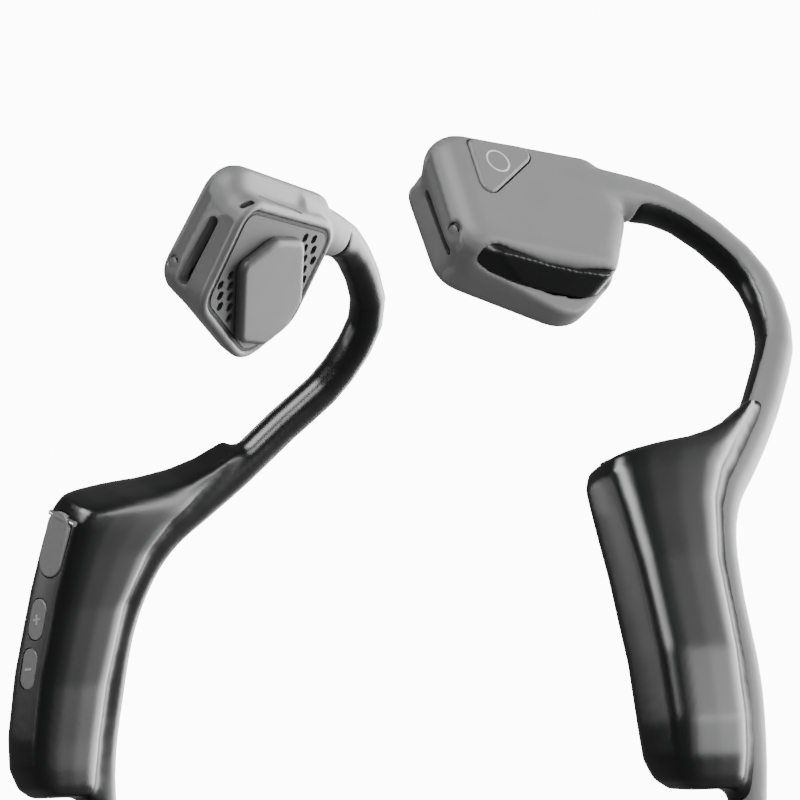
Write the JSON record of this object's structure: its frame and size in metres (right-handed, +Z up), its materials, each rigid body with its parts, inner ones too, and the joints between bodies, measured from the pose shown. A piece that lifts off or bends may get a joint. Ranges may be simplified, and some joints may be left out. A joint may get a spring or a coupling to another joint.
{
  "type": "bone conduction headphones",
  "caption": "Wrap-around open-ear headset: two slate heads on ear hooks, gloss black pods with side buttons and a sprung neckband.",
  "frame": {"origin": "middle of the bounding box, on the table under the heads and pods", "axes": "+X to the wearer's left, +Y to the back of the neckband, +Z up"},
  "size_m": [0.1328, 0.146, 0.0508],
  "materials": {
    "titanium": "drawn",
    "slate_silicone": "matte",
    "slate_shell": "soft touch",
    "pad_silicone": "matte",
    "black_gloss": "gloss",
    "black_rubber": "matte",
    "lead_insulation": "satin",
    "steel": "satin",
    "copper": "enamelled",
    "magnet": "nickel plated",
    "dark_plastic": "matte",
    "board": "solder mask",
    "battery_wrap": "film",
    "foam": "open cell",
    "ceramic": "fired",
    "lens": "clear",
    "silver_paint": "satin"
  },
  "bodies": {
    "neckband": {"neckband_wire": "titanium", "neckband_outer_skin": "slate_silicone", "neckband_inner_skin": "black_gloss", "neckband_leads": "lead_insulation"},
    "left_side": {"left_hook_wire": "titanium", "left_outer_skin": "slate_silicone", "left_inner_skin": "black_gloss", "left_head_shell": "slate_shell", "left_head_cover": "slate_shell", "left_head_gasket": "black_rubber", "left_contact_pad": "pad_silicone", "left_head_inlay": "black_gloss", "left_vibration_plate": "steel", "left_voice_coil": "copper", "left_magnet": "magnet", "left_yoke": "steel", "left_transducer_bracket": "dark_plastic", "left_microphone": "steel", "button_switch": "steel", "button_board": "board", "left_pod_shell": "black_gloss", "left_pod_cover": "black_gloss", "left_pod_gasket": "black_rubber", "battery": "battery_wrap", "battery_foam": "foam"},
    "right_side": {"right_hook_wire": "titanium", "right_outer_skin": "slate_silicone", "right_inner_skin": "black_gloss", "right_head_shell": "slate_shell", "right_head_cover": "slate_shell", "right_head_gasket": "black_rubber", "right_contact_pad": "pad_silicone", "right_head_inlay": "black_gloss", "right_vibration_plate": "steel", "right_voice_coil": "copper", "right_magnet": "magnet", "right_yoke": "steel", "right_transducer_bracket": "dark_plastic", "right_microphone": "steel", "right_pod_shell": "black_gloss", "right_pod_cover": "black_gloss", "right_pod_gasket": "black_rubber", "main_board": "board", "shield_can": "steel", "antenna": "ceramic", "usb_receptacle": "steel", "port_hinge_pin": "steel", "volume_plus_switch": "steel", "volume_minus_switch": "steel", "indicator_lens": "lens"},
    "multifunction_button": {"multifunction_button": "slate_shell"},
    "port_cover": {"port_cover": "silver_paint"},
    "volume_plus_button": {"volume_plus_button": "silver_paint"},
    "volume_minus_button": {"volume_minus_button": "silver_paint"}
  },
  "joints": [
    {"name": "left_flex", "type": "hinge", "parent": "neckband", "child": "left_side", "pos_m": [0.05103, 0.04858, 0.01447], "axis": [0, 0, 1], "range_deg": [-5, 25], "stiffness_Nm_per_rad": 0.25, "deforming": ["neckband_wire", "neckband_outer_skin", "neckband_inner_skin", "neckband_leads"]},
    {"name": "right_flex", "type": "hinge", "parent": "neckband", "child": "right_side", "pos_m": [-0.05103, 0.04858, 0.01447], "axis": [0, 0, -1], "range_deg": [-5, 25], "stiffness_Nm_per_rad": 0.25},
    {"name": "multifunction_press", "type": "slide", "parent": "left_side", "child": "multifunction_button", "axis": [-0.841, 0.5255, 0.1289], "range_m": [0, 0.0003], "stiffness_N_per_m": 3000},
    {"name": "port_cover_hinge", "type": "hinge", "parent": "right_side", "child": "port_cover", "pos_m": [-0.05196, -0.02535, 0.0011], "axis": [-0.9334, -0.3589, 0], "range_deg": [0, 80]},
    {"name": "volume_plus_press", "type": "slide", "parent": "right_side", "child": "volume_plus_button", "axis": [0, 0, 1], "range_m": [0, 0.0003], "stiffness_N_per_m": 3000},
    {"name": "volume_minus_press", "type": "slide", "parent": "right_side", "child": "volume_minus_button", "axis": [0, 0, 1], "range_m": [0, 0.0003], "stiffness_N_per_m": 3000}
  ]
}
